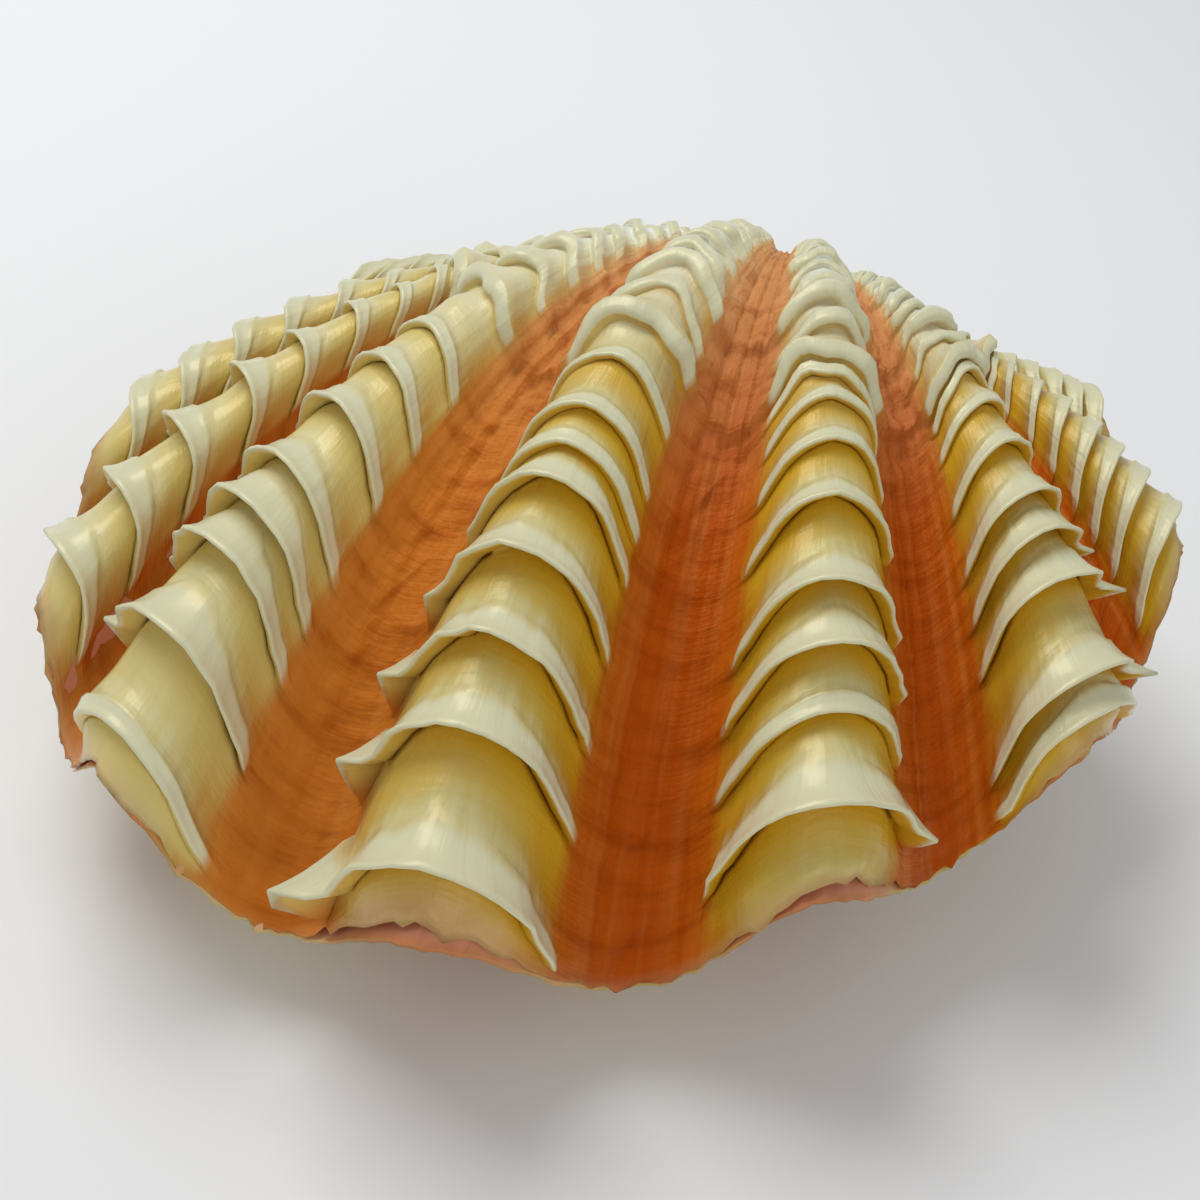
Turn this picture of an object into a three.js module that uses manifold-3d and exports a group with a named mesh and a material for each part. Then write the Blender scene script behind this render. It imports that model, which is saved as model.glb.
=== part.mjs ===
// Giant clam shell (fluted giant clam): two scaly valves closed on each other and the band of dried ligament
// behind the beaks. Millimetres, +Z up, ventral margin to the front (-Y), beaks to the back.

import * as THREE from "three";
import { mergeVertices } from "three/addons/utils/BufferGeometryUtils.js";
import Module from "manifold-3d";

const wasm = await Module();
wasm.setup();

// Size and outline. The beak is the pole: a bearing of 0 looks straight down to the ventral margin,
// and the outline is the margin's distance from the beak every 15 degrees, in shell heights.
const SHELL_HEIGHT = 140;
const OUTLINE = [0.32, 0.6, 0.89, 1.08, 1.165, 1.1, 1.01, 0.91, 0.81, 0.72, 0.61, 0.46, 0.28];
const OUTLINE_START = -90;
const OUTLINE_STEP = 15;

// Growth. A valve is its margin repeated at every earlier size, turned about the hinge line by COIL radians
// for each e-fold of size. The ribs fan out wider near the beak, and lean to the long side there.
const COIL = 0.716;
const BEAK_SIZE = 0.035;
const RIB_FAN = 0.46;
const RIB_TURN = -8;

// Folds. Bearings of the margin's troughs and crests in turn, starting with a trough of the upper valve, and how
// far each stands above or below the middle of the margin. The lower valve has its crests in those troughs.
const FOLDS = [
  -84, -75, -65, -56, -50, -44, -38.5, -31.5, -21.5, -13, -1.3, 9, 20.9, 32, 44.7, 57.3, 67, 76, 84,
];
const FOLD_LIFTS = [
  -3.5, 4.5, -5, 7, -7, 8.5, -8, 11, -11, 12, -13, 12.5, -10, 11.5, -8.5, 9, -5.5, 5, -3.5,
];
const CREST_NARROWING = 0.85;
// The size at which the margin ended at each of those troughs and crests.
const MARGIN_SIZES = [
  1, 1, 1, 1, 1, 1, 0.995, 0.99, 0.98, 1.01, 0.985, 0.995, 0.965, 1, 0.99, 1, 1, 1, 1,
];
const WIDE_FOLD = 10.1;
const END_BEARING = 88;

// Scales. Each row gives one rib's growth halts as shell sizes, from the margin towards the beak, and the ends
// of the shell have smaller ones. Nearer the beak they are worn down to low steps.
const SCALE_LENGTH = 9;
const SCALE_THICKNESS = 1.7;
const SCALE_LEAN = 62;
const SCALE_SPREAD = 0.76;
const SCALE_WIDENING = 0.45;
const SCALE_WIDENED_FROM = 0.8;
const HALT_ARCH = 0.035;
const SCALE_SETBACK = 4.2;
const END_SCALES = 0.38;
const END_SCALES_FROM = 28;
const END_SCALES_TO = 54;
const FLARE = 1.3;
const WORN_SIZE = 0.5;
const UPPER_HALTS = {
  "-75": [0.945, 0.885, 0.82, 0.75, 0.68, 0.61, 0.55, 0.49],
  "-56": [0.93, 0.86, 0.79, 0.72, 0.65, 0.585, 0.52, 0.46],
  "-44": [0.93, 0.865, 0.8, 0.735, 0.665, 0.6, 0.54, 0.48],
  "-31.5": [0.95, 0.86, 0.8, 0.74, 0.69, 0.64, 0.585, 0.53],
  "-13": [0.968, 0.858, 0.788, 0.716, 0.654, 0.612, 0.565, 0.51],
  9: [0.915, 0.832, 0.772, 0.717, 0.636, 0.567, 0.51, 0.455],
  32: [0.955, 0.902, 0.805, 0.73, 0.66, 0.595, 0.53, 0.47],
  57.3: [0.94, 0.87, 0.8, 0.72, 0.64, 0.57, 0.51, 0.45],
  76: [0.945, 0.885, 0.82, 0.75, 0.68, 0.61, 0.55, 0.49],
};
const LOWER_HALTS = {
  "-84": [0.89, 0.83, 0.77, 0.71, 0.65, 0.59, 0.535, 0.48],
  "-65": [0.885, 0.82, 0.76, 0.7, 0.64, 0.58, 0.525, 0.47],
  "-50": [0.88, 0.82, 0.76, 0.7, 0.64, 0.585, 0.53, 0.475],
  "-38.5": [0.885, 0.825, 0.765, 0.705, 0.65, 0.595, 0.54, 0.485],
  "-21.5": [0.88, 0.82, 0.765, 0.71, 0.655, 0.6, 0.55, 0.5],
  "-1.3": [0.885, 0.825, 0.765, 0.71, 0.655, 0.6, 0.545, 0.495],
  20.9: [0.88, 0.82, 0.765, 0.71, 0.655, 0.6, 0.545, 0.49],
  44.7: [0.885, 0.825, 0.765, 0.705, 0.645, 0.585, 0.53, 0.475],
  67: [0.88, 0.82, 0.76, 0.7, 0.64, 0.585, 0.53, 0.475],
  84: [0.89, 0.83, 0.77, 0.71, 0.65, 0.59, 0.535, 0.48],
};
// Scales that stand lower or taller than the others, by rib and then by row. The lower valve's first row is low.
const ODD_SCALES = { "-31.5": { 0: 0.35, 1: 1.3 }, "-13": { 5: 0.6 }, 9: { 1: 0.45 } };
const LOWER_SCALES = 0.8;
const LOWER_FIRST_SCALES = 0.45;
const WORN_HALTS = [0.41, 0.345, 0.285, 0.225];
const WORN_STEP = 1.4;
const GROWTH_PATH = 186;

// Inside. The cavity follows the outline this far in from it.
const WALL = 10.5;
const CAVITY_FOLD = 0.6;
const CAVITY_SIZE = 0.22;
const CAVITY_BEARING = 72;
const CAVITY_ROWS = 6;
const CAVITY_DEPTH = 16;

// Closing. The valves stand a little apart, and flat faces are made as few triangles as this allows.
const COMMISSURE_GAP = 0.8;
const COMMISSURE_STEPS = [0, 0.5, 0.85, 1];
const FACET_TOLERANCE = 0.35;
const CORNER_WELD = 1e-3;

// Ligament, on the longer side of the hinge line.
const LIGAMENT_RADIUS = 3.4;
const LIGAMENT_FROM = -50;
const LIGAMENT_TO = -10;
const LIGAMENT_GAP = 0.35;

// Rest. The pair lies on the scales of its lower valve, whose tips are worn flat there.
const REST_PITCH = 10;
const REST_ROLL = -2;
const WORN_TIPS = 2.2;

const DEG = Math.PI / 180;
const smooth = (t) => t * t * (3 - 2 * t);
const clamp01 = (t) => Math.min(1, Math.max(0, t));

// Catmull-Rom curve through the outline's values.
function outlineAt(bearing) {
  const u = Math.min(Math.max((bearing - OUTLINE_START) / OUTLINE_STEP, 0), OUTLINE.length - 1);
  const i = Math.min(Math.floor(u), OUTLINE.length - 2);
  const t = u - i;
  const [a, b, c, d] = [i - 1, i, i + 1, i + 2].map((k) => OUTLINE[Math.min(Math.max(k, 0), OUTLINE.length - 1)]);
  return b + 0.5 * t * (c - a + t * (2 * a - 5 * b + 4 * c - d + t * (3 * (b - c) + d - a)));
}

// The folds at a bearing: how far the margin stands above its middle, the size at which it ended, and how far
// the bearing is from the upper valve's nearest crest, 0 on the crest and 1 in a trough.
function foldAt(bearing) {
  const last = FOLDS.length - 2;
  const i = Math.max(0, bearing >= FOLDS[last] ? last : FOLDS.findIndex((f) => f > bearing) - 1);
  const t = clamp01((bearing - FOLDS[i]) / (FOLDS[i + 1] - FOLDS[i]));
  const fromCrest = i % 2 ? t : 1 - t;
  const arch = Math.cos(Math.PI * fromCrest ** CREST_NARROWING);
  const down = 0.5 - 0.5 * arch * (1.12 - 0.12 * arch * arch);
  const eased = i % 2 ? down : 1 - down;
  const between = (list) => list[i] + (list[i + 1] - list[i]) * eased;
  return { lift: between(FOLD_LIFTS), margin: between(MARGIN_SIZES), fromCrest };
}

// A point of a valve at a bearing of its margin, when its size there was this, with its hinge on the X axis and
// its body above the XY plane. The inner surface lies a wall's width in, and its folds are shallower.
function shellPoint(bearing, size, side, wall = 0, folding = 1) {
  const { lift, margin } = foldAt(bearing);
  const turn = COIL * Math.log(margin / size);
  const radius = SHELL_HEIGHT * size * outlineAt(bearing) - wall;
  const fold = folding * size * side * lift;
  const fanned = (RIB_FAN * bearing + RIB_TURN) * (1 - (bearing / 90) ** 2) * (1 - size);
  const heading = (bearing + fanned) * DEG;
  const reach = radius * Math.cos(heading);
  return new THREE.Vector3(
    radius * Math.sin(heading),
    -reach * Math.cos(turn) + fold * Math.sin(turn),
    reach * Math.sin(turn) + fold * Math.cos(turn),
  );
}

// Directions at a point of the outer surface: the way it grows and the way out of it.
function shellFrame(bearing, size, side) {
  const along = shellPoint(bearing, size * 1.004, side).sub(shellPoint(bearing, size / 1.004, side)).normalize();
  const across = shellPoint(bearing + 1, size, side).sub(shellPoint(bearing - 1, size, side)).normalize();
  return { along, out: new THREE.Vector3().crossVectors(along, across).normalize() };
}

// The halts of every column, and how strongly a scale stands there: 1 on the crest, 0 towards the trough.
function haltAt(bearing, row, halts, worn) {
  const crests = Object.keys(halts).map(Number).sort((a, b) => a - b);
  const value = (c) => (worn ? WORN_HALTS[row] : halts[String(c)][row]);
  const next = crests.findIndex((c) => c >= bearing);
  if (next === 0 || next === -1) return value(next === 0 ? crests[0] : crests.at(-1));
  const [c0, c1] = [crests[next - 1], crests[next]];
  const t = clamp01(((bearing - c0) / (c1 - c0) - 0.35) / 0.3);
  return value(c0) + (value(c1) - value(c0)) * smooth(t);
}

function scaleStrength(bearing, size, side) {
  const far = farFromCrest(bearing, side);
  const spread = SCALE_SPREAD + SCALE_WIDENING * (size - SCALE_WIDENED_FROM);
  return far < spread ? Math.sqrt(1 - (far / spread) ** 3) : 0;
}

// How far a bearing is from the valve's own nearest crest, 0 on it and 1 in a trough.
function farFromCrest(bearing, side) {
  if (side > 0 && Math.abs(bearing) > FOLDS.at(-1)) return 1;
  return side > 0 ? foldAt(bearing).fromCrest : 1 - foldAt(bearing).fromCrest;
}

// How tall the scale of a row stands at a bearing beside the others.
function scaleHeight(bearing, side, row, crests) {
  const ends = (Math.abs(bearing + 3) - END_SCALES_FROM) / (END_SCALES_TO - END_SCALES_FROM);
  const height = 1 - (1 - END_SCALES) * smooth(clamp01(ends));
  if (side < 0) return height * (row ? LOWER_SCALES : LOWER_FIRST_SCALES);
  const rib = crests.reduce((a, b) => (Math.abs(b - bearing) < Math.abs(a - bearing) ? b : a));
  return height * (ODD_SCALES[rib]?.[row] ?? 1);
}

// Rows of the outer surface at one bearing, from the beak to the margin. At a halt the surface runs out on to
// the back of the scale, over its rim and back under it to the rib.
function columnPoints(bearing, side, halts) {
  const crests = Object.keys(halts).map(Number);
  const far = farFromCrest(bearing, side);
  const arch = HALT_ARCH * smooth(clamp01(far / 0.7)) * (1 - 0.6 * smooth(clamp01((far - 0.75) / 0.25)));
  const margin = foldAt(bearing).margin;
  const at = (size, lift = 0) => {
    const p = shellPoint(bearing, size, side);
    return lift ? p.addScaledVector(shellFrame(bearing, size, side).out, lift) : p;
  };
  const rows = [at(BEAK_SIZE), at(0.1), at(0.16)];
  for (let k = WORN_HALTS.length - 1; k >= 0; k--) {
    const size = haltAt(bearing, k, halts, true);
    rows.push(at(size, WORN_STEP * scaleStrength(bearing, size, side)), at(size + 0.006));
  }
  let before = WORN_HALTS[0] + 0.006;
  for (let k = halts[crests[0]].length - 1; k >= 0; k--) {
    const rimSize = haltAt(bearing, k, halts, false) + arch;
    const height = scaleHeight(bearing, side, k, crests);
    const setBack = (SCALE_SETBACK * rimSize ** 0.7 * height) / GROWTH_PATH;
    const size = Math.min(rimSize - setBack, margin - 0.02);
    const strength = scaleStrength(bearing, size, side);
    const { along, out } = shellFrame(bearing, size, side);
    const lean = SCALE_LEAN * DEG;
    const grown = clamp01((size - WORN_SIZE + 0.12) / 0.22);
    const length = SCALE_LENGTH * size ** 0.7 * height * strength * (0.35 + 0.65 * smooth(grown));
    const blade = along.clone().multiplyScalar(Math.cos(lean)).addScaledVector(out, Math.sin(lean));
    const under = along.clone().multiplyScalar(Math.sin(lean)).addScaledVector(out, -Math.cos(lean));
    const rim = at(size).addScaledVector(blade, length);
    rows.push(at(size - 0.35 * (size - before), FLARE * size * strength));
    rows.push(rim);
    rows.push(strength ? rim.clone().addScaledVector(under, SCALE_THICKNESS * (0.5 + 0.5 * size)) : at(size + 0.004));
    rows.push(at(size + 0.012));
    before = size + 0.012;
  }
  rows.push(at(margin));
  return rows;
}

// A solid between two grids of the same shape: the upper one facing out, the lower one facing back.
function solidBetween(top, bottom) {
  const [n, m] = [top.length, top[0].length];
  const points = [...top.flat(), ...bottom.flat()];
  const faces = [];
  const id = (i, j, lower) => (lower ? n * m : 0) + i * m + j;
  const quad = (a, b, c, d) => faces.push(a, b, c, a, c, d);
  for (let i = 0; i < n - 1; i++)
    for (let j = 0; j < m - 1; j++) {
      quad(id(i, j), id(i, j + 1), id(i + 1, j + 1), id(i + 1, j));
      quad(id(i, j, 1), id(i + 1, j, 1), id(i + 1, j + 1, 1), id(i, j + 1, 1));
    }
  for (let i = 0; i < n - 1; i++) {
    quad(id(i, 0), id(i + 1, 0), id(i + 1, 0, 1), id(i, 0, 1));
    quad(id(i, m - 1), id(i, m - 1, 1), id(i + 1, m - 1, 1), id(i + 1, m - 1));
  }
  for (let j = 0; j < m - 1; j++) {
    quad(id(0, j), id(0, j, 1), id(0, j + 1, 1), id(0, j + 1));
    quad(id(n - 1, j), id(n - 1, j + 1), id(n - 1, j + 1, 1), id(n - 1, j, 1));
  }
  const geometry = new THREE.BufferGeometry();
  geometry.setAttribute("position", new THREE.Float32BufferAttribute(points.flatMap((p) => p.toArray()), 3));
  geometry.setIndex(faces);
  return toManifold(geometry);
}

function toManifold(geometry, weld = 1e-4) {
  const plain = geometry.clone();
  plain.deleteAttribute("normal");
  plain.deleteAttribute("uv");
  const merged = mergeVertices(plain, weld);
  const corners = [...merged.index.array];
  const faces = [];
  for (let i = 0; i < corners.length; i += 3) {
    const face = corners.slice(i, i + 3);
    if (new Set(face).size === 3) faces.push(...face);
  }
  return new wasm.Manifold(
    new wasm.Mesh({
      numProp: 3,
      vertProperties: new Float32Array(merged.attributes.position.array),
      triVerts: new Uint32Array(faces),
    }),
  );
}

function toGeometry(solid) {
  const { vertProperties, triVerts } = solid.getMesh();
  const geometry = new THREE.BufferGeometry();
  geometry.setAttribute("position", new THREE.Float32BufferAttribute(vertProperties, 3));
  geometry.setIndex(new THREE.BufferAttribute(triVerts, 1));
  return geometry;
}

// One valve, hinge on the X axis, body above the XY plane; side is 1 for the upper valve and -1 for the lower.
function valve(side, halts) {
  const bearings = [-END_BEARING];
  for (let i = 0; i < FOLDS.length - 1; i++) {
    const width = FOLDS[i + 1] - FOLDS[i];
    const steps = width > WIDE_FOLD ? [0, 0.34, 0.67] : [0, 0.5];
    for (const t of steps) bearings.push(FOLDS[i] + t * width);
  }
  bearings.push(FOLDS.at(-1), END_BEARING);
  const outer = bearings.map((b) => columnPoints(b, side, halts));
  const rows = outer[0].length;
  const commissure = bearings.map((b) => {
    const edge = shellPoint(b, foldAt(b).margin, side);
    return Array.from({ length: rows }, (_, j) => {
      const u = COMMISSURE_STEPS[Math.max(0, j - rows + COMMISSURE_STEPS.length)];
      return new THREE.Vector3(edge.x * u, edge.y * u, edge.z * u * u);
    });
  });
  const body = solidBetween(outer, commissure);

  const inner = [];
  const floor = [];
  for (const b of FOLDS.filter((f) => Math.abs(f) < CAVITY_BEARING)) {
    const column = [];
    const below = [];
    for (let j = 0; j <= CAVITY_ROWS; j++) {
      const size = CAVITY_SIZE ** (1 - j / CAVITY_ROWS);
      const p = shellPoint(b, size, side, WALL * (0.55 + 0.45 * size), CAVITY_FOLD);
      column.push(p);
      below.push(new THREE.Vector3(p.x, -Math.max(Math.hypot(p.y, p.z), 4), -CAVITY_DEPTH));
    }
    inner.push(column);
    floor.push(below);
  }
  return body.subtract(solidBetween(inner, floor)).simplify(FACET_TOLERANCE);
}

function ligamentBar(radius) {
  const length = LIGAMENT_TO - LIGAMENT_FROM;
  const bar = new THREE.CapsuleGeometry(radius, length - 2 * radius, 3, 10);
  bar.rotateZ(90 * DEG);
  bar.translate((LIGAMENT_TO + LIGAMENT_FROM) / 2, 0, 0);
  return toManifold(bar);
}

const channel = ligamentBar(LIGAMENT_RADIUS + LIGAMENT_GAP);
const solids = {
  upper_valve: valve(1, UPPER_HALTS).translate([0, 0, COMMISSURE_GAP / 2]).subtract(channel),
  lower_valve: valve(-1, LOWER_HALTS).scale([1, 1, -1]).translate([0, 0, -COMMISSURE_GAP / 2]).subtract(channel),
  hinge_ligament: ligamentBar(LIGAMENT_RADIUS),
};

// The pair laid down, with the tips that it lies on worn flat. Only the largest body is kept of each piece,
// because a cut and a weld of its corners can leave a crumb behind.
const laid = Object.entries(solids).map(([name, solid]) => [name, solid.rotate([REST_PITCH, REST_ROLL, 0])]);
const lowest = Math.min(...laid.map(([, solid]) => solid.boundingBox().min[2]));
const largestBody = (solid) => solid.decompose().reduce((a, b) => (b.volume() > a.volume() ? b : a));
const pieces = laid.map(([name, solid]) => [name, largestBody(solid.trimByPlane([0, 0, 1], lowest + WORN_TIPS))]);
const box = new THREE.Box3();
for (const [, solid] of pieces) {
  const b = solid.boundingBox();
  box.expandByPoint(new THREE.Vector3(...b.min)).expandByPoint(new THREE.Vector3(...b.max));
}
const middle = box.getCenter(new THREE.Vector3());

const COLOURS = { upper_valve: 0xe9c98a, lower_valve: 0xe6bf80, hinge_ligament: 0x3b2a1e };
const group = new THREE.Group();
for (const [name, solid] of pieces) {
  const placed = solid.translate([-middle.x, -middle.y, -box.min.z]);
  const geometry = toGeometry(largestBody(toManifold(toGeometry(placed), CORNER_WELD)));
  const mesh = new THREE.Mesh(geometry, new THREE.MeshStandardMaterial({ color: COLOURS[name], roughness: 0.4 }));
  mesh.name = name;
  group.add(mesh);
}

export default group;
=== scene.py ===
import math

import bmesh
import bpy
import numpy as np
from mathutils import Matrix, Vector


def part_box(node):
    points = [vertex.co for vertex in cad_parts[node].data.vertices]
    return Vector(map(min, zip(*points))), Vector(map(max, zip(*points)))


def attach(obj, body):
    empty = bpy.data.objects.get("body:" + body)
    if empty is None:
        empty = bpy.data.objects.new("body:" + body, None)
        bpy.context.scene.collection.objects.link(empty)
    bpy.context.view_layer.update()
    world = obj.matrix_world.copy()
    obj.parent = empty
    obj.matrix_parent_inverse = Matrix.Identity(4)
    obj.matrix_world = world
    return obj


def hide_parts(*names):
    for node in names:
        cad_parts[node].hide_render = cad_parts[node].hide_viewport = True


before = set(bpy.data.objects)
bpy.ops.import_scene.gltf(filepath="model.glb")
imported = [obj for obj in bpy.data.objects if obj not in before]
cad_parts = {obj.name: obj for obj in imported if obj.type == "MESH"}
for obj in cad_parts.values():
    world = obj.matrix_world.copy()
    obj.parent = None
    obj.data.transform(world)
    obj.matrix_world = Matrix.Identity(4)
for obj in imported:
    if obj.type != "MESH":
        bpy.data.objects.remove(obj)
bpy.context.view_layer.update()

# The valves are the two halves of a shell of aragonite, which the clam grew along their whole margin. So
# each is its margin repeated at every earlier size, turned round the hinge line towards the beak. Lengths
# are in mm, and bearings in degrees round the beak, from 0 straight to the front margin.
MM = 0.001
SHELL_HEIGHT = 140.0
OUTLINE_STEP = 15.0
OUTLINE = np.array([0.32, 0.6, 0.89, 1.08, 1.165, 1.1, 1.01, 0.91, 0.81, 0.72, 0.61, 0.46, 0.28])
COIL = 0.716
RIB_FAN = 0.46
RIB_TURN = -8.0
FOLDS = np.array([
    -84, -75, -65, -56, -50, -44, -38.5, -31.5, -21.5, -13, -1.3, 9, 20.9, 32, 44.7, 57.3, 67, 76, 84,
])
FOLD_LIFTS = np.array([
    -3.5, 4.5, -5, 7, -7, 8.5, -8, 11, -11, 12, -13, 12.5, -10, 11.5, -8.5, 9, -5.5, 5, -3.5,
])
MARGIN_SIZES = np.array([
    1, 1, 1, 1, 1, 1, 0.995, 0.99, 0.98, 1.01, 0.985, 0.995, 0.965, 1, 0.99, 1, 1, 1, 1,
])
CREST_NARROWING = 0.85
LOWER_LIP = 0.019
END_BEARING = 88.0


def smooth(t):
    t = np.clip(t, 0, 1)
    return t * t * (3 - 2 * t)


def outline_at(bearing):
    place = np.clip((bearing + 90) / OUTLINE_STEP, 0, len(OUTLINE) - 1)
    i = np.minimum(place.astype(int), len(OUTLINE) - 2)
    t = place - i
    a, b, c, d = (OUTLINE[np.clip(i + k, 0, len(OUTLINE) - 1)] for k in (-1, 0, 1, 2))
    return b + 0.5 * t * (c - a + t * (2 * a - 5 * b + 4 * c - d + t * (3 * (b - c) + d - a)))


def fold_place(bearing):
    """The fold before a bearing, and how far on it is towards the next one, eased as a round arch is."""
    i = np.clip(np.searchsorted(FOLDS, bearing, side="right") - 1, 0, len(FOLDS) - 2)
    t = np.clip((bearing - FOLDS[i]) / (FOLDS[i + 1] - FOLDS[i]), 0, 1)
    crest_first = i % 2 == 1
    arch = np.cos(np.pi * np.where(crest_first, t, 1 - t) ** CREST_NARROWING)
    down = 0.5 - 0.5 * arch * (1.12 - 0.12 * arch * arch)
    return i, np.where(crest_first, down, 1 - down)


def fold_wave(bearing):
    i, t = fold_place(bearing)
    return np.where(i % 2 == 1, 1 - 2 * t, 2 * t - 1)


def fold_lift(bearing):
    i, t = fold_place(bearing)
    return FOLD_LIFTS[i] * (1 - t) + FOLD_LIFTS[i + 1] * t


def margin_size(bearing, side=1):
    """The size at which the margin ended. The lower valve's shows a little under the two middle ribs."""
    i, t = fold_place(bearing)
    lip = np.exp(-((bearing + 13) / 4.5) ** 2) + np.exp(-((bearing - 11) / 4.5) ** 2)
    return MARGIN_SIZES[i] * (1 - t) + MARGIN_SIZES[i + 1] * t + (LOWER_LIP * lip if side < 0 else 0.0)


def shell_point(bearing, size, side, wall=0.0, folding=1.0):
    turn = COIL * np.log(margin_size(bearing, side) / size)
    radius = SHELL_HEIGHT * size * outline_at(bearing) - wall
    fold = folding * size * side * fold_lift(bearing)
    fanned = (RIB_FAN * bearing + RIB_TURN) * (1 - (bearing / 90) ** 2) * (1 - size)
    heading = np.radians(bearing + fanned)
    reach = radius * np.cos(heading)
    return np.stack([
        radius * np.sin(heading),
        -reach * np.cos(turn) + fold * np.sin(turn),
        reach * np.sin(turn) + fold * np.cos(turn),
    ], axis=-1)


def unit(v):
    return v / np.maximum(np.linalg.norm(v, axis=-1, keepdims=True), 1e-9)


def shell_frame(bearing, size, side):
    along = unit(shell_point(bearing, size * 1.004, side) - shell_point(bearing, size / 1.004, side))
    across = shell_point(bearing + 0.4, size, side) - shell_point(bearing - 0.4, size, side)
    return along, unit(np.cross(along, across))


# The scales grew with the valves. Each is a thin blade that the margin left standing at a halt in growth.
# It leans over the next stretch of rib and arches from flank to flank. Near the beak they are worn to low
# ledges. The halts are sizes of the margin for each crest's bearing, from the youngest to the oldest.
UPPER_HALTS = {
    -75: [0.945, 0.885, 0.82, 0.75, 0.68, 0.61, 0.55, 0.49],
    -56: [0.93, 0.86, 0.79, 0.72, 0.65, 0.585, 0.52, 0.46],
    -44: [0.945, 0.87, 0.796, 0.717, 0.652, 0.586, 0.53, 0.47],
    -31.5: [0.95, 0.876, 0.804, 0.762, 0.718, 0.65, 0.59, 0.534],
    -13: [0.969, 0.862, 0.79, 0.718, 0.651, 0.611, 0.571, 0.51],
    9: [0.915, 0.834, 0.774, 0.716, 0.631, 0.565, 0.513, 0.46],
    32: [0.955, 0.905, 0.79, 0.73, 0.675, 0.6, 0.53, 0.47],
    57.3: [0.93, 0.845, 0.78, 0.718, 0.65, 0.586, 0.52, 0.45],
    76: [0.945, 0.885, 0.82, 0.75, 0.68, 0.61, 0.55, 0.49],
}
LOWER_HALTS = {
    -84: [0.89, 0.83, 0.77, 0.71, 0.65, 0.59, 0.535, 0.48],
    -65: [0.885, 0.82, 0.76, 0.7, 0.64, 0.58, 0.525, 0.47],
    -50: [0.88, 0.82, 0.76, 0.7, 0.64, 0.585, 0.53, 0.475],
    -38.5: [0.885, 0.825, 0.765, 0.705, 0.65, 0.595, 0.54, 0.485],
    -21.5: [0.88, 0.82, 0.765, 0.71, 0.655, 0.6, 0.55, 0.5],
    -1.3: [0.885, 0.825, 0.765, 0.71, 0.655, 0.6, 0.545, 0.495],
    20.9: [0.88, 0.82, 0.765, 0.71, 0.655, 0.6, 0.545, 0.49],
    44.7: [0.885, 0.825, 0.765, 0.705, 0.645, 0.585, 0.53, 0.475],
    67: [0.88, 0.82, 0.76, 0.7, 0.64, 0.585, 0.53, 0.475],
    84: [0.89, 0.83, 0.77, 0.71, 0.65, 0.59, 0.535, 0.48],
}
SCALE_LENGTH = 8.6
SCALE_START_LEAN = 14.0
SCALE_RIM_LEAN = 60.0
SCALE_BASE_THICKNESS = 1.7
SCALE_RIM_THICKNESS = 0.4
# How far a scale's rim leans ahead of its foot, as a share of its length, and how far the surface runs
# along a crest while the margin grows from nothing to full size.
SCALE_FORWARD = 0.77
GROWTH_PATH = 186.0
# Places from a crest, 0, to the floor of a trough, 1: where the scales taper out, where their ends point,
# where the ribs stop rising, and where their round sides meet the trough.
SCALE_ENDS = (0.5, 0.62)
SCALE_WIDENING = 0.1
END_PLACE = 0.54
END_WIDTH = 0.09
RIB_EDGE = 0.7
RIB_ROUND_TO = 0.62
RIB_SWELLING = 2.6
RIB_RISE = 1.3
TROUGH_RISE = 0.3
# The step in size from a scale's back to its front, and how much a halt gains from crest to flank
FOOT = 0.012
HALT_ARCH = 0.012
# How white the shell is where a scale starts to rise. Its rim is wholly white.
BACK_WHITE = 0.42
LUMPS = 0.17
LUMP_SIZES = ((1.1, 0.012), (0.8, 0.02), (1.9, 0.009))
RIBLETS = 0.42
RIBLET_SPACING = 2.3
BEAD_STEP = 0.0045
WORN_FROM = 0.45
WORN_TO = 0.13
WORN_HALTS = 12
WORN_LENGTH = 1.7
WORN_START_LEAN = 4.0
WORN_RIM_LEAN = 32.0
WORN_BASE_THICKNESS = 0.3
WORN_RIM_THICKNESS = 0.4
WORN_RISE = 4.2
WORN_LEDGES = (0.4, 3.0, 0.5, 1.2, 3.4)
BEAK_SIZE = 0.035
WALL = 9.0
CAVITY_FOLD = 0.6
CAVITY_SIZE = 0.2
LIP_STEPS = (0.6, 2.0, 5.0, 9.0)
COMMISSURE_GAP = 0.8
COLUMNS_PER_HALF_FOLD = 16
LOWER_SCALES = 0.8
LOWER_FIRST_SCALES = 0.45


def column_bearings():
    steps = np.arange(COLUMNS_PER_HALF_FOLD) / COLUMNS_PER_HALF_FOLD
    bearings = [np.array([-END_BEARING, -86.5, -85.2])]
    for i in range(len(FOLDS) - 1):
        bearings.append(FOLDS[i] + steps * (FOLDS[i + 1] - FOLDS[i]))
    bearings.append(np.array([FOLDS[-1], 85.2, 86.5, END_BEARING]))
    return np.concatenate(bearings)


def from_crest(bearing, side):
    """How far a bearing is from its rib's crest, 0, towards the floor of the trough, 1."""
    i = np.clip(np.searchsorted(FOLDS, bearing, side="right") - 1, 0, len(FOLDS) - 2)
    t = np.clip((bearing - FOLDS[i]) / (FOLDS[i + 1] - FOLDS[i]), 0, 1)
    rising = (i % 2 == 0) == (side > 0)
    far = np.where(rising, 1 - t, t)
    outside = (bearing < FOLDS[0]) | (bearing > FOLDS[-1])
    return np.where(outside, 1.0 if side > 0 else np.minimum(1.0, np.abs(np.abs(bearing) - 84) / 4), far)


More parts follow.
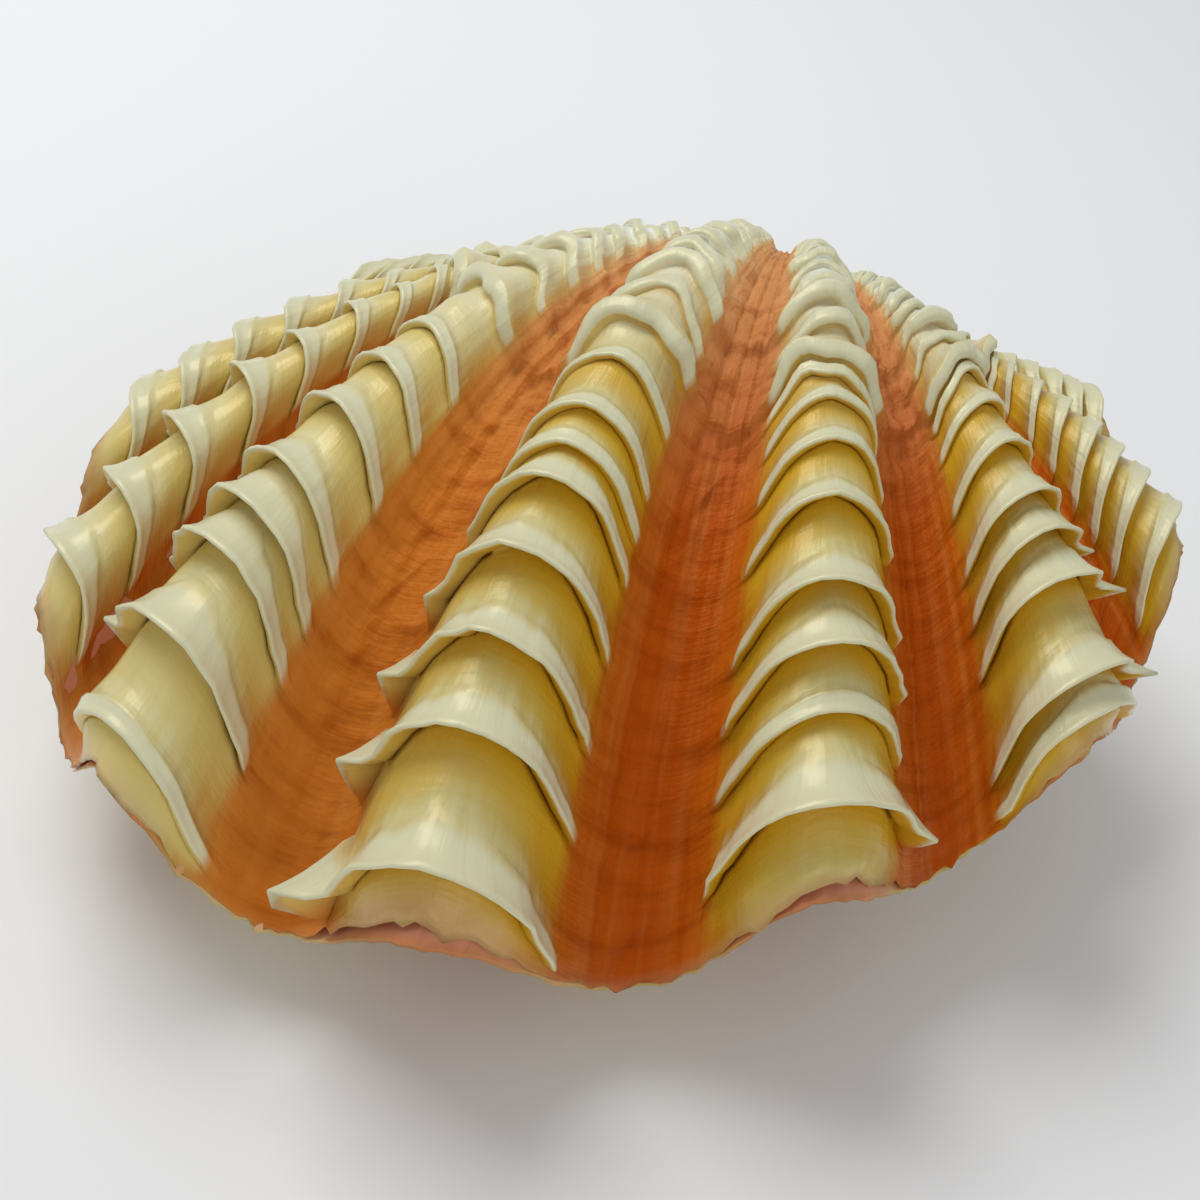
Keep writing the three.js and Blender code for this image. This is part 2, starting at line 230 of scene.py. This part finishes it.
def wander(bearing, seed, count=5, finest=1.2):
    """A ragged line: a few sine waves round the margin, from broad to fine."""
    draw = np.random.default_rng(seed)
    total = np.zeros_like(bearing)
    for k in range(count):
        period = 14.0 * (finest / 14.0) ** (k / (count - 1))
        wave = np.sin(2 * np.pi * (bearing / period + draw.random()))
        total += wave * draw.uniform(0.5, 1.0) / (1 + 0.5 * k)
    return total / 2


def halt_sizes(bearing, values_by_crest):
    crests = np.array(sorted(values_by_crest))
    values = np.array([values_by_crest[c] for c in crests])
    i = np.clip(np.searchsorted(crests, bearing) - 1, 0, len(crests) - 2)
    t = (bearing - crests[i]) / (crests[i + 1] - crests[i])
    t = smooth((t - 0.4) / 0.2)
    return values[i] * (1 - t) + values[i + 1] * t


# The length of each scale of a rib as a share of the usual one, from the margin in, and how far its
# pointed ends reach out over the troughs on the left and on the right
SCALE_SHARES = {
    -31.5: [0.35, 1.3, 1.1, 1.1, 1, 1, 1, 1],
    -13: [1.3, 0.95, 0.9, 1, 1, 0.6, 1, 1],
    9: [1.3, 0.45, 0.9, 0.9, 1, 1, 1, 1],
    32: [0.6, 1.1, 1.2, 1.1, 1, 1, 1, 1],
}
LEFT_POINTS = {
    -44: [0.5, 0.9, 0.9, 0.8, 0.6, 0.5, 0.4, 0.4],
    -31.5: [0.2, 0.7, 0.4, 0.4, 0.5, 0.4, 0.2, 0.2],
    -13: [1.5, 1.3, 1.1, 0.6, 0.2, 0, 0.1, 0.1],
    9: [0.2, 0.4, 0.2, 0.2, 0.1, 0.1, 0.1, 0.1],
    32: [0.1, 0.1, 0.1, 0.1, 0.1, 0.1, 0.1, 0.1],
}
RIGHT_POINTS = {
    -44: [0.1, 0.1, 0.1, 0.1, 0.1, 0.1, 0.1, 0.1],
    -31.5: [0, 0.2, 0.1, 0.1, 0.1, 0.1, 0.1, 0.1],
    -13: [0.2, 0.1, 0.1, 0.1, 0.1, 0.1, 0.1, 0.1],
    9: [0.65, 0.3, 0.4, 0.3, 0.3, 0.2, 0.2, 0.2],
    32: [0.8, 1.7, 1.5, 1.1, 0.8, 0.6, 0.5, 0.4],
}


def of_own_rib(bearing, table, row, otherwise):
    crests = sorted(table)
    away = np.abs(bearing[:, None] - np.array(crests))
    own = np.array([table[c][row] for c in crests])
    return np.where(away.min(1) < 7, own[away.argmin(1)], otherwise)


def scale_shares(bearing, side, row):
    ends = 1 - 0.5 * smooth((np.abs(bearing + 3) - 30) / 26)
    if side < 0:
        return ends * (LOWER_FIRST_SCALES if row == 0 else LOWER_SCALES)
    return ends * of_own_rib(bearing, SCALE_SHARES, row, 1.0)


def pointed_ends(bearing, side, row):
    if side < 0:
        return 0.3 * np.ones_like(bearing)
    crests = FOLDS[1::2]
    nearest = crests[np.abs(bearing[:, None] - crests).argmin(1)]
    left = of_own_rib(bearing, LEFT_POINTS, row, 0.5)
    right = of_own_rib(bearing, RIGHT_POINTS, row, 0.5)
    return np.where(bearing < nearest, left, right)


def grown_valve(side, halts):
    """Rows of points from the beak over the outside to the margin and back inside, with what colours them."""
    bearing = column_bearings()
    flank = from_crest(bearing, side)
    rib = np.sqrt(np.clip(1 - (flank / RIB_EDGE) ** 3, 0, 1))
    rib_swelling = RIB_SWELLING * np.sin(np.pi * np.clip(flank / RIB_ROUND_TO, 0, 1)) ** 2
    margin = margin_size(bearing, side)
    draw = np.random.default_rng(21 + side)
    lumps = [(wide, high, *draw.uniform(0, 6.3, 2)) for wide, high in LUMP_SIZES]
    rows = []

    def add(points, size, pale=0.0, painted_shade=0.0, inside=0.0):
        ones = np.ones_like(bearing)
        rows.append((points, size * ones, pale * ones, painted_shade * ones, inside * ones))

    def surface(size, lift):
        """The outside at one size: round ribs, lumps, and beaded riblets along the troughs."""
        out = shell_frame(bearing, size, side)[1]
        to_margin = smooth((margin - size) / 0.03)
        early = smooth((0.62 - size) / 0.2)
        swollen = rib_swelling * size * to_margin * (0.35 + 0.65 * smooth((size - 0.15) / 0.3))
        lumpy = sum(
            np.sin(bearing / wide + first) * np.sin(size / high + second)
            for wide, high, first, second in lumps
        )
        beads = 1 + 0.6 * np.sin(size / BEAD_STEP + 2 * np.sin(bearing / 2.1))
        riblets = beads * np.cos(2 * np.pi * bearing / RIBLET_SPACING) * smooth((flank - 0.5) / 0.25)
        relief = LUMPS * (1 + 3.0 * early) * lumpy + RIBLETS * (1 + 2.5 * early) * riblets
        lifted = lift + swollen + to_margin * size * relief
        return shell_point(bearing, size, side) + out * lifted[:, None]

    def reach_at(size):
        """1 along the rib, down to 0 where its scales have tapered out. Younger scales are wider."""
        start, end = SCALE_ENDS
        return 1 - smooth((flank - SCALE_WIDENING * (size - 0.8) - start) / (end - start))

    def stretch(before, size, count, rise, shade, whitened=0.0):
        """The surface from one halt to the next, painted shade in deep yellow under the last scale, rising to
        the next.
        """
        for k in range(1, count + 1):
            t = k / count
            now = before + (size - before) * t
            white = whitened * smooth((t - 0.45) / 0.55)
            add(surface(now, rise * now * t ** 2), now, white, shade * (1 - t) ** 0.9)

    def scale(size, length, rise, leans, thicknesses, counts):
        """A blade that bends forward from its foot: up its back, over its rim and down its front."""
        along, out = shell_frame(bearing, size, side)
        reach = reach_at(size)
        start_lean, rim_lean = leans
        base, rim = thicknesses
        backs, fronts = counts
        up = np.linspace(0, 1, 24)
        lean = np.radians(start_lean + (rim_lean - start_lean) * np.ones_like(bearing) * up[:, None] ** 0.8)
        step = length / (len(up) - 1)
        forward = np.cumsum(np.cos(lean) * step, 0) - np.cos(lean[0]) * step
        upward = np.cumsum(np.sin(lean) * step, 0) - np.sin(lean[0]) * step
        places = [(k / backs, 1.0) for k in range(1, backs + 1)] + [(1.0, 0.45), (1.0, -0.45)]
        places += [(1 - k / (fronts + 0.6), -1.0) for k in range(1, fronts + 1)]
        total = len(places) + 1
        for k, (height, face) in enumerate(places, start=1):
            j = int(round(height * (len(up) - 1)))
            cosine, sine = np.cos(lean[j])[:, None], np.sin(lean[j])[:, None]
            thick = 0.5 * (base + (rim - base) * height ** 0.7) * reach ** 0.5 * face
            bulge = 0.35 * rim * reach if abs(face) < 1 else 0.0 * reach
            offset = along * forward[j][:, None] + out * upward[j][:, None]
            offset = offset + (out * cosine - along * sine) * thick[:, None]
            offset = offset + (along * cosine + out * sine) * bulge[:, None]
            now = size + FOOT * k / (total + 1)
            lifted = rise * size * np.clip(1 - k / total, 0, 1)
            back = BACK_WHITE + (1 - BACK_WHITE) * smooth((height - 0.05) / 0.5)
            front = 0.75 * smooth((height - 0.8) / 0.2)
            pale = back if face > -1 else front
            # The front face, down to the foot, takes painted shade in deep yellow, except at its paler rim
            add(surface(now, lifted) + offset, now, pale * reach, (face < 0) * (1 - front) * reach)
        add(surface(size + FOOT, 0.0), size + FOOT, 0.0, reach)

    before = WORN_TO - 0.015
    for size in np.linspace(BEAK_SIZE, before, 4):
        add(surface(size, 0.0), size)
    for k, halt in enumerate(np.geomspace(WORN_TO, WORN_FROM, WORN_HALTS)):
        drift = 1 + 0.028 * wander(bearing, 40 + k + 7 * side, 5, 3.0) + 0.05 * smooth(flank / 0.7)
        size = np.maximum(halt * drift, before + 0.004)
        grade = (halt / WORN_FROM) ** 0.7
        uneven = np.clip(1 + 0.6 * wander(bearing, 90 + k + 5 * side, 4, 3.0), 0.2, 1.8)
        rise = WORN_RISE * rib * uneven + WORN_LEDGES[k % len(WORN_LEDGES)]
        stretch(before, size, 3, rise, 0.0)
        length = WORN_LENGTH * grade * rib * reach_at(size) * uneven * (1 - 0.7 * smooth(flank / 0.5))
        thicknesses = (WORN_BASE_THICKNESS * grade, WORN_RIM_THICKNESS * grade)
        scale(size, length, rise, (WORN_START_LEAN, WORN_RIM_LEAN), thicknesses, (3, 2))
        before = size + FOOT

    # shade is the painted shade in deep yellow that each scale leaves on the stretch ahead of it
    shade = 0.0
    rise = RIB_RISE * rib + TROUGH_RISE
    start_lean = SCALE_START_LEAN + 20 * smooth(flank / 0.6)
    for k in range(len(halts[min(halts)]) - 1, -1, -1):
        rim_size = halt_sizes(bearing, {crest: sizes[k] for crest, sizes in halts.items()})
        rim_size = rim_size + HALT_ARCH * smooth(flank / 0.7) * (1 - 0.4 * smooth((flank - 0.75) / 0.25))
        reach = reach_at(rim_size)
        grown = 0.35 + 0.65 * smooth((rim_size - 0.5) / 0.22)
        ragged = 1 + 0.12 * wander(bearing, 500 + k + 31 * side, 6, 0.9)
        ragged = ragged + 0.05 * draw.standard_normal(len(bearing))
        ends = pointed_ends(bearing, side, k) * np.exp(-((flank - END_PLACE) / END_WIDTH) ** 2)
        shape = 1 - 0.78 * smooth(flank / 0.56) + ends
        length = SCALE_LENGTH * rim_size ** 0.7 * grown * reach * ragged * shape
        length = length * scale_shares(bearing, side, k)
        size = rim_size - SCALE_FORWARD * length / GROWTH_PATH
        size = np.maximum(size * (1 + 0.0015 * wander(bearing, 300 + k)), before + 0.01)
        size = np.minimum(size, margin - FOOT - 0.008)
        stretch(before, size, 7, rise, shade, BACK_WHITE * reach)
        rim_lean = SCALE_RIM_LEAN + 6 * wander(bearing, 700 + k + 13 * side, 3, 5.0)
        thicknesses = (SCALE_BASE_THICKNESS * size, SCALE_RIM_THICKNESS)
        scale(size, length, rise, (start_lean, rim_lean), thicknesses, (8, 4))
        before = size + FOOT
        shade = reach

    edge = margin + 0.006 * wander(bearing, 900, 6, 0.9) + 0.0025 * draw.standard_normal(len(bearing))
    stretch(before, edge, 6, 0.15, shade)
    rim = shell_point(bearing, edge, side)
    for inward in LIP_STEPS:
        shrink = 1 - inward / (SHELL_HEIGHT * outline_at(bearing))
        lip = np.stack([rim[:, 0] * shrink, rim[:, 1] * shrink, rim[:, 2] * shrink ** 2], -1)
        add(lip, edge, 0.0, 0.0, min(1.0, inward / 3))
    for size in np.geomspace(0.97, CAVITY_SIZE, 9):
        wall = WALL * (0.5 + 0.5 * size) * smooth((END_BEARING - np.abs(bearing)) / 14)
        add(shell_point(bearing, size, side, wall, CAVITY_FOLD), size, 0.0, 0.0, 1.0)
    add(shell_point(bearing, BEAK_SIZE * 1.4, side, 1.0, CAVITY_FOLD), BEAK_SIZE, 0.0, 0.0, 1.0)

    points, size, pale, painted_shade, inside = (np.array(column) for column in zip(*rows))
    points[..., 2] = points[..., 2] * side + side * COMMISSURE_GAP / 2
    crest = np.broadcast_to(side * fold_wave(bearing), size.shape)
    return points, {"size": size, "pale": pale, "painted_shade": painted_shade, "inside": inside, "crest": crest}


# The pair rests on its lower valve, pitched a little to the front, and the scale tips that it lies on are
# worn flat. The hinge ligament's place in the frame fixes where it lies.
REST_PITCH = 10.0
REST_ROLL = -2.0
LIGAMENT_MIDDLE = -30.0
laid = Matrix.Rotation(math.radians(REST_ROLL), 3, "Y") @ Matrix.Rotation(math.radians(REST_PITCH), 3, "X")
low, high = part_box("hinge_ligament")
shift = (low + high) / 2 / MM - laid @ Vector((LIGAMENT_MIDDLE, 0, 0))


def lay_down(points):
    return (points @ np.array(laid).T + np.array(shift)) * MM


def valve_grid(side, halts):
    """A grid whose rows and columns follow the growth of a valve, with its colouring and its grain in mm."""
    points, colouring = grown_valve(side, halts)
    points = lay_down(points)
    points[..., 2] = np.maximum(points[..., 2], 0.0)
    row_count, column_count = points.shape[:2]
    bm = bmesh.new()
    bmesh.ops.create_grid(bm, x_segments=column_count - 1, y_segments=row_count - 1, size=1)
    bm.verts.ensure_lookup_table()
    layers = [(bm.verts.layers.float.new(key), value.reshape(-1)) for key, value in colouring.items()]
    grain = bm.verts.layers.float_vector.new("grain")
    across = np.tile(np.radians(column_bearings()) * SHELL_HEIGHT, row_count)
    along = colouring["size"].reshape(-1) * SHELL_HEIGHT
    for i, (vert, point) in enumerate(zip(bm.verts, points.reshape(-1, 3))):
        vert.co = point
        vert[grain] = (across[i], along[i], 0.0)
        for layer, values in layers:
            vert[layer] = values[i]
    return bm


def closed_piece(bm, name, material):
    bmesh.ops.remove_doubles(bm, verts=bm.verts[:], dist=1e-6)
    bmesh.ops.holes_fill(bm, edges=[edge for edge in bm.edges if edge.is_boundary], sides=0)
    bmesh.ops.triangulate(bm, faces=[face for face in bm.faces if len(face.verts) > 4])
    bmesh.ops.recalc_face_normals(bm, faces=bm.faces[:])
    mesh = bpy.data.meshes.new(name)
    bm.to_mesh(mesh)
    bm.free()
    mesh.materials.append(material)
    mesh.shade_smooth()
    piece = bpy.data.objects.new(name, mesh)
    bpy.context.scene.collection.objects.link(piece)
    return piece


def linear(hex_colour):
    """An sRGB hex colour as linear red, green, blue and alpha."""
    channels = [int(hex_colour[k:k + 2], 16) / 255 for k in (1, 3, 5)]
    return [c / 12.92 if c <= 0.04045 else ((c + 0.055) / 1.055) ** 2.4 for c in channels] + [1.0]


def add_node(tree, kind, *values, sockets=None, stops=None, easing="EASE", output=0, **settings):
    """A shader node's output. The values fill its inputs in order, and sockets holds some by name or number.

    Each is a number, a hex colour or a link. A ramp's stops are places with a hex colour or a grey level.
    """
    made = tree.nodes.new("ShaderNode" + kind)
    for key, setting in settings.items():
        setattr(made, key, setting)
    for key, value in [*enumerate(values), *(sockets or {}).items()]:
        if isinstance(value, bpy.types.NodeSocket):
            tree.links.new(value, made.inputs[key])
        else:
            made.inputs[key].default_value = linear(value) if isinstance(value, str) else value
    if stops:
        made.color_ramp.interpolation = easing
    for k, (place, colour) in enumerate(stops or []):
        elements = made.color_ramp.elements
        element = elements[k] if k < 2 else elements.new(place)
        element.position = place
        element.color = linear(colour) if isinstance(colour, str) else [colour] * 3 + [1.0]
    return made.outputs[output] if made.outputs else None


# Grown aragonite lies in crossed plates under a thin skin, so it is glossy and lets a little light in.
# Ribs are cream to olive yellow, rims white and troughs orange, and all is paler near the beak. The grain
# is in mm across the ribs and along them, and each pattern repeats so often in a mm.
STREAKS_PER_MM = 0.9
LONG_STREAKS_PER_MM = 0.3
BANDS_PER_MM = 0.35
CLOUDS_PER_MM = 0.06
GROWTH_LINES_PER_MM = 1.0
ROUGH_PATCHES_PER_MM = 1.1
RIBLET_WAVES_PER_MM = 0.11
ALONG_RIBS = (1.0, 0.12, 1.0)
FAR_ALONG_RIBS = (1.0, 0.03, 1.0)
ACROSS_RIBS = (0.15, 1.0, 1.0)
FINE_ACROSS_RIBS = (0.15, 1.6, 1.0)


def aragonite():
    material = bpy.data.materials.new("aragonite shell, grown")
    material.use_nodes = True
    tree = material.node_tree
    tree.nodes.clear()
    crest, size, pale, painted_shade, inside = (
        add_node(tree, "Attribute", output="Fac", attribute_name=name)
        for name in ("crest", "size", "pale", "painted_shade", "inside")
    )

    # Streaks along the ribs, growth bands across them, and clouds
    grain = add_node(tree, "Attribute", output="Vector", attribute_name="grain")
    streaked = add_node(tree, "Mapping", grain, sockets={"Scale": ALONG_RIBS})
    streak = add_node(tree, "TexNoise", streaked, sockets={"Scale": STREAKS_PER_MM, "Detail": 3.0})
    far_streaked = add_node(tree, "Mapping", grain, sockets={"Scale": FAR_ALONG_RIBS})
    long_streak = add_node(
        tree, "TexNoise", far_streaked, sockets={"Scale": LONG_STREAKS_PER_MM, "Detail": 2.0},
    )
    banded = add_node(tree, "Mapping", grain, sockets={"Scale": ACROSS_RIBS})
    band = add_node(tree, "TexNoise", banded, sockets={"Scale": BANDS_PER_MM, "Detail": 3.0})
    cloud = add_node(tree, "TexNoise", grain, sockets={"Scale": CLOUDS_PER_MM, "Detail": 2.0})

    # Where a point is: from trough to crest with a wavering edge, from beak to margin, and how far left
    wavering = add_node(tree, "Math", streak, 0.5, -0.25, operation="MULTIPLY_ADD")
    from_trough = add_node(tree, "Math", crest, wavering, operation="ADD")
    across = add_node(tree, "Math", from_trough, 0.5, 0.5, operation="MULTIPLY_ADD")
    rib = add_node(tree, "ValToRGB", across, stops=[(0.45, 0.0), (0.7, 1.0)])
    trough = add_node(tree, "ValToRGB", across, stops=[(0.1, 1.0), (0.5, 0.0)])
    young = add_node(tree, "ValToRGB", size, stops=[(0.22, 0.0), (0.62, 1.0)])
    sideways = add_node(tree, "SeparateXYZ", grain)
    rightward = add_node(tree, "Math", sideways, 0.01, 0.5, operation="MULTIPLY_ADD")
    left = add_node(tree, "ValToRGB", rightward, stops=[(0.02, 1.0), (0.2, 0.1)])

    # From trough to crest: young shell, young shell on the left, and worn old shell. The left is paler,
    # partly its own colour and partly painted light as if lit from the left, brightest on its crests; the
    # right is darker with painted shade
    young_right = add_node(tree, "ValToRGB", across, stops=[
        (0.0, "#B44704"), (0.2, "#C25C0A"), (0.36, "#C27E12"),
        (0.5, "#BE932A"), (0.78, "#C8AE50"), (1.0, "#D4C274"),
    ])
    young_left = add_node(tree, "ValToRGB", across, stops=[
        (0.0, "#D27C2A"), (0.25, "#D48430"), (0.42, "#CF9E40"), (0.6, "#D4C070"), (1.0, "#E8DCA0"),
    ])
    old = add_node(tree, "ValToRGB", across, stops=[
        (0.0, "#DA9A60"), (0.25, "#E2AC74"), (0.42, "#DEC088"), (0.62, "#EEF0D8"), (1.0, "#F6FAF2"),
    ])
    base = add_node(tree, "Mix", left, output=2, sockets={6: young_right, 7: young_left}, data_type="RGBA")
    base = add_node(tree, "Mix", young, output=2, sockets={6: old, 7: base}, data_type="RGBA")

    # Cream clouds on young ribs, pale streaks and dark bands in troughs, browner growth bands over all
    clouded = add_node(tree, "ValToRGB", cloud, stops=[(0.42, 0.0), (0.7, 0.5)])
    young_rib = add_node(tree, "Math", rib, young, operation="MULTIPLY")
    pale_streaked = add_node(tree, "ValToRGB", long_streak, stops=[(0.45, 0.0), (0.7, 0.25)])
    dark_banded = add_node(tree, "ValToRGB", band, stops=[(0.5, 0.0), (0.75, 0.45)])
    for place, pattern, tint in (
        (young_rib, clouded, "#DACD90"), (trough, pale_streaked, "#DE9A52"), (trough, dark_banded, "#9C3A06"),
    ):
        amount = add_node(tree, "Math", place, pattern, operation="MULTIPLY")
        base = add_node(tree, "Mix", amount, output=2, sockets={6: base, 7: tint}, data_type="RGBA")
    browned = add_node(tree, "ValToRGB", band, stops=[(0.3, "#FFFFFF"), (0.7, "#E6D8B4")])
    base = add_node(tree, "Mix", add_node(tree, "Math", young, 0.5, operation="MULTIPLY"), output=2,
                    sockets={6: base, 7: browned}, data_type="RGBA", blend_type="MULTIPLY")

    # Painted shade in deep yellow under the scales and on their fronts, paler on the lit left, white rims,
    # and a pinkish margin and inside
    painted_shade_gold = add_node(tree, "Mix", left, output=2, sockets={6: "#D6A600", 7: "#DEC878"}, data_type="RGBA")
    shaded = add_node(tree, "ValToRGB", painted_shade, stops=[(0.05, 0.0), (0.8, 1.0)])
    painted_shade_amount = add_node(tree, "Math", shaded, young, operation="MULTIPLY")
    streaked_rim = add_node(tree, "Math", streak, 0.45, -0.225, operation="MULTIPLY_ADD")
    ragged_rim = add_node(tree, "Math", pale, streaked_rim, operation="ADD")
    white = add_node(tree, "ValToRGB", ragged_rim, stops=[(0.15, 0.0), (0.85, 1.0)])
    last_growth = add_node(tree, "ValToRGB", size, stops=[(0.97, 0.0), (1.0, 1.0)])
    margin = add_node(tree, "Math", last_growth, 0.6, operation="MULTIPLY")
    colour = base
    for amount, tint in ((painted_shade_amount, painted_shade_gold), (white, "#DFDCB8"), (margin, "#D9A070"), (inside, "#E8A488")):
        colour = add_node(tree, "Mix", amount, output=2, sockets={6: colour, 7: tint}, data_type="RGBA")

    # Relief too fine for the mesh: fibres everywhere, and riblets, lines and rough patches in troughs
    riblets = add_node(
        tree, "TexWave", grain, output=1, wave_type="BANDS", bands_direction="X",
        sockets={"Scale": RIBLET_WAVES_PER_MM, "Distortion": 0.6, "Detail": 2.0, "Detail Scale": 0.4},
    )
    lined = add_node(tree, "Mapping", grain, sockets={"Scale": FINE_ACROSS_RIBS})
    lines = add_node(tree, "TexNoise", lined, sockets={"Scale": GROWTH_LINES_PER_MM, "Detail": 2.0})
    patches = add_node(tree, "TexNoise", grain, sockets={"Scale": ROUGH_PATCHES_PER_MM, "Detail": 4.0})
    rough_trough = add_node(tree, "ValToRGB", across, stops=[(0.1, 1.0), (0.55, 0.25)])
    relief = add_node(tree, "Math", streak, 0.8, operation="MULTIPLY")
    for pattern, height in ((patches, 1.2), (riblets, 0.6), (lines, 1.2), (band, 3.5)):
        raised = add_node(tree, "Math", rough_trough, height, operation="MULTIPLY")
        relief = add_node(tree, "Math", pattern, raised, relief, operation="MULTIPLY_ADD")
    bump = add_node(tree, "Bump", sockets={"Strength": 0.45, "Distance": 0.0005, "Height": relief})

    ribs_and_rims = add_node(tree, "Math", rib, pale, operation="MAXIMUM")
    shader = add_node(tree, "BsdfPrincipled", sockets={
        "Base Color": colour,
        "Roughness": add_node(tree, "ValToRGB", across, stops=[(0.2, 0.5), (0.7, 0.3)]),
        "IOR": 1.57,
        "Specular IOR Level": 0.4,
        "Specular Tint": add_node(
            tree, "Mix", ribs_and_rims, output=2, sockets={6: "#FF8A30", 7: "#FFE9B0"}, data_type="RGBA",
        ),
        "Normal": bump,
        "Subsurface Weight": 0.12,
        "Subsurface Scale": 0.002,
        "Subsurface Radius": (1.0, 0.6, 0.2),
        "Coat Weight": add_node(tree, "Math", rib, 0.15, operation="MULTIPLY"),
        "Coat Roughness": 0.15,
    })
    add_node(tree, "OutputMaterial", shader)
    return material


shell = aragonite()
for name, side, halts in (("upper_valve", 1, UPPER_HALTS), ("lower_valve", -1, LOWER_HALTS)):
    valve = closed_piece(valve_grid(side, halts), name + "_shell", shell)
    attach(valve, "root")
    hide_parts(name)


# The hinge ligament is a band of conchiolin behind the beaks, which holds the two valves shut. It has
# dried dark and leathery, with fibres along it. It keeps the frame's own mesh.
LIGAMENT_FIBRES = (100.0, 700.0, 700.0)


def dried_ligament():
    material = bpy.data.materials.new("conchiolin ligament, dried")
    material.use_nodes = True
    tree = material.node_tree
    tree.nodes.clear()
    place = add_node(tree, "TexCoord", output="Object")
    along_band = add_node(tree, "Mapping", place, sockets={"Scale": LIGAMENT_FIBRES})
    fibre = add_node(tree, "TexNoise", along_band, sockets={"Scale": 1.0, "Detail": 4.0})
    colour = add_node(tree, "ValToRGB", fibre, stops=[(0.3, "#24170F"), (0.7, "#4B3322")], easing="LINEAR")
    bump = add_node(tree, "Bump", sockets={"Strength": 0.6, "Distance": 0.0003, "Height": fibre})
    shader = add_node(tree, "BsdfPrincipled", sockets={
        "Base Color": colour,
        "Roughness": 0.6,
        "Normal": bump,
    })
    add_node(tree, "OutputMaterial", shader)
    return material


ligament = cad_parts["hinge_ligament"]
ligament.data.materials.clear()
ligament.data.materials.append(dried_ligament())


# The floor is a plain pale board with matt paint, far wider than the view
FLOOR_HALF = 3.0


def painted_board():
    material = bpy.data.materials.new("painted board, matt")
    material.use_nodes = True
    shader = material.node_tree.nodes["Principled BSDF"]
    shader.inputs["Base Color"].default_value = linear("#F6F6F6")
    shader.inputs["Roughness"].default_value = 0.85
    return material


floor_mesh = bpy.data.meshes.new("floor")
bm = bmesh.new()
bmesh.ops.create_grid(bm, x_segments=1, y_segments=1, size=FLOOR_HALF)
bm.to_mesh(floor_mesh)
bm.free()
floor = bpy.data.objects.new("floor", floor_mesh)
bpy.context.scene.collection.objects.link(floor)
floor_mesh.materials.append(painted_board())

# Soft studio light: an even pale surround, a soft box above and behind, and a weak one in front. Places
# and sizes are in metres.
SURROUND_STRENGTH = 0.47
SHELL_MIDDLE = (0.0, 0.0, 0.04)
world = bpy.data.worlds.new("studio")
world.use_nodes = True
surround = world.node_tree.nodes["Background"]
surround.inputs["Color"].default_value = linear("#E8EBEE")
surround.inputs["Strength"].default_value = SURROUND_STRENGTH
bpy.context.scene.world = world
bpy.context.scene.view_settings.view_transform = "Standard"


def soft_box(name, place, size, watts):
    light = bpy.data.lights.new(name, "AREA")
    light.shape = "RECTANGLE"
    light.size, light.size_y = size
    light.energy = watts
    lamp = bpy.data.objects.new(name, light)
    bpy.context.scene.collection.objects.link(lamp)
    lamp.location = place
    lamp.rotation_mode = "QUATERNION"
    lamp.rotation_quaternion = (Vector(SHELL_MIDDLE) - Vector(place)).to_track_quat("-Z", "Y")


soft_box("overhead", (-0.4, 0.3, 0.85), (0.7, 0.5), 5.2)
soft_box("front_fill", (0.5, -0.8, 0.5), (0.6, 0.6), 1.6)

# The camera stands where the photograph was taken from. Its aim and distance are in mm in the shell's own
# frame, before the pair is laid down, and its angles are in degrees there.
CAMERA_AIM = Vector((-20.82, -86.1, 9.82))
CAMERA_DISTANCE = 274.4
CAMERA_TURN = -4.57
CAMERA_TILT = 52.16
CAMERA_ROLL = 8.59
LENS = 51.0
camera_data = bpy.data.cameras.new("camera")
camera_data.lens = LENS
camera_data.sensor_width = 36.0
camera = bpy.data.objects.new("camera", camera_data)
bpy.context.scene.collection.objects.link(camera)
turn, tilt = math.radians(CAMERA_TURN), math.radians(CAMERA_TILT)
forward = Vector((math.sin(turn) * math.cos(tilt), math.cos(turn) * math.cos(tilt), -math.sin(tilt)))
rightward = Vector((math.cos(turn), -math.sin(turn), 0))
axes = Matrix((rightward, rightward.cross(forward), -forward)).transposed()
axes = laid @ axes @ Matrix.Rotation(math.radians(CAMERA_ROLL), 3, "Z")
camera.location = lay_down(np.array(CAMERA_AIM - forward * CAMERA_DISTANCE))
camera.rotation_mode = "QUATERNION"
camera.rotation_quaternion = axes.to_quaternion()
bpy.context.scene.camera = camera
